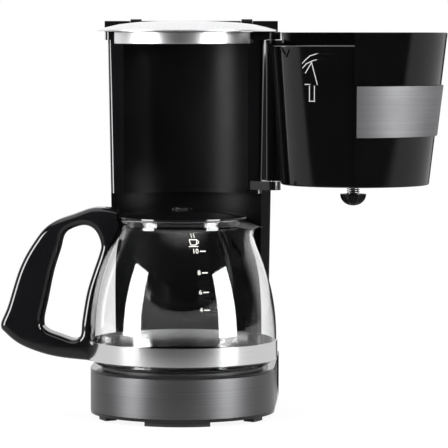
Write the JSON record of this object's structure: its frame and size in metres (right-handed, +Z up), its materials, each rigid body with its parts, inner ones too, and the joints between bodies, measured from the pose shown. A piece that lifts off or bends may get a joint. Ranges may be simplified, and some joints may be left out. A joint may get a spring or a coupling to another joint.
{
  "type": "drip coffee maker",
  "caption": "Drip coffee maker with a swing-out filter basket, a glass carafe on a warming plate, a rear water tank and a hinged steel lid.",
  "frame": {"origin": "on the brew axis, through the middle of the carafe and the warming plate, at the plane the feet rest on", "axes": "+X to the right as the user faces it, +Y to the back, +Z up"},
  "size_m": [0.3523, 0.2108, 0.315],
  "materials": {
    "black_gloss": "high gloss black",
    "black_satin": "satin black",
    "rubber_black": "matte",
    "steel_dark": "dark brushed",
    "steel_band": "brushed round the band",
    "steel_lid": "bright satin",
    "steel_clamp": "polished",
    "pin_steel": "bright",
    "plate_grey": "coated",
    "heater_aluminium": "cast",
    "ceramic_white": "matte",
    "silicone": "translucent",
    "clear_glass": "clear",
    "clear_plastic": "clear plastic window",
    "switch_red": "gloss red"
  },
  "bodies": {
    "housing": {"base_housing": "black_gloss", "base_band": "steel_dark", "bottom_plate": "black_satin", "rubber_feet": "rubber_black", "base_screws": "pin_steel", "warming_plate": "plate_grey", "heater_tube": "heater_aluminium", "thermostat": "ceramic_white", "terminal_block": "ceramic_white", "feed_hose": "silicone", "cord_gland": "rubber_black", "switch_frame": "black_satin", "column_housing": "black_gloss", "level_window": "clear_plastic", "riser_tube": "silicone", "top_frame": "black_gloss", "spray_ring": "steel_lid", "spray_plate": "black_satin", "water_arm": "black_satin", "basket_pin": "pin_steel", "lid_pins": "pin_steel"},
    "power_rocker": {"power_rocker": "switch_red"},
    "tank_lid": {"lid_cover": "steel_lid", "lid_frame": "black_satin"},
    "basket": {"basket_holder": "black_gloss", "basket_shell": "black_gloss", "basket_band": "steel_band", "valve_spring": "pin_steel"},
    "filter_insert": {"filter_insert": "black_satin"},
    "drip_valve": {"drip_valve": "black_satin", "valve_seal": "silicone"},
    "carafe": {"carafe_glass": "clear_glass", "carafe_band": "steel_clamp", "carafe_handle": "black_gloss", "carafe_pin": "pin_steel"},
    "carafe_lid": {"carafe_lid": "black_gloss"}
  },
  "joints": [
    {"name": "basket_swing", "type": "hinge", "parent": "housing", "child": "basket", "pos_m": [0.07, 0.04, 0.2], "axis": [0, 0, 1], "range_deg": [-114, 10]},
    {"name": "insert_lift", "type": "slide", "parent": "basket", "child": "filter_insert", "axis": [0, 0, 1], "range_m": [0, 0.115]},
    {"name": "valve_lift", "type": "slide", "parent": "basket", "child": "drip_valve", "axis": [0, 0, 1], "range_m": [0, 0.0035], "stiffness_N_per_m": 300, "springref_m": -0.002, "deforming": ["valve_spring"]},
    {"name": "lid_tilt", "type": "hinge", "parent": "housing", "child": "tank_lid", "pos_m": [0, 0.118, 0.311], "axis": [-1, 0, 0], "range_deg": [0, 95]},
    {"name": "carafe_pull", "type": "slide", "parent": "housing", "child": "carafe", "axis": [0, -1, 0], "range_m": [0, 0.24]},
    {"name": "carafe_lid_flip", "type": "hinge", "parent": "carafe", "child": "carafe_lid", "pos_m": [-0.0572, 0, 0.1622], "axis": [0, -1, 0], "range_deg": [0, 70]},
    {"name": "rocker_tip", "type": "hinge", "parent": "housing", "child": "power_rocker", "pos_m": [-0.069, 0.092, 0.0217], "axis": [0, 1, 0], "range_deg": [-12, 0]}
  ]
}
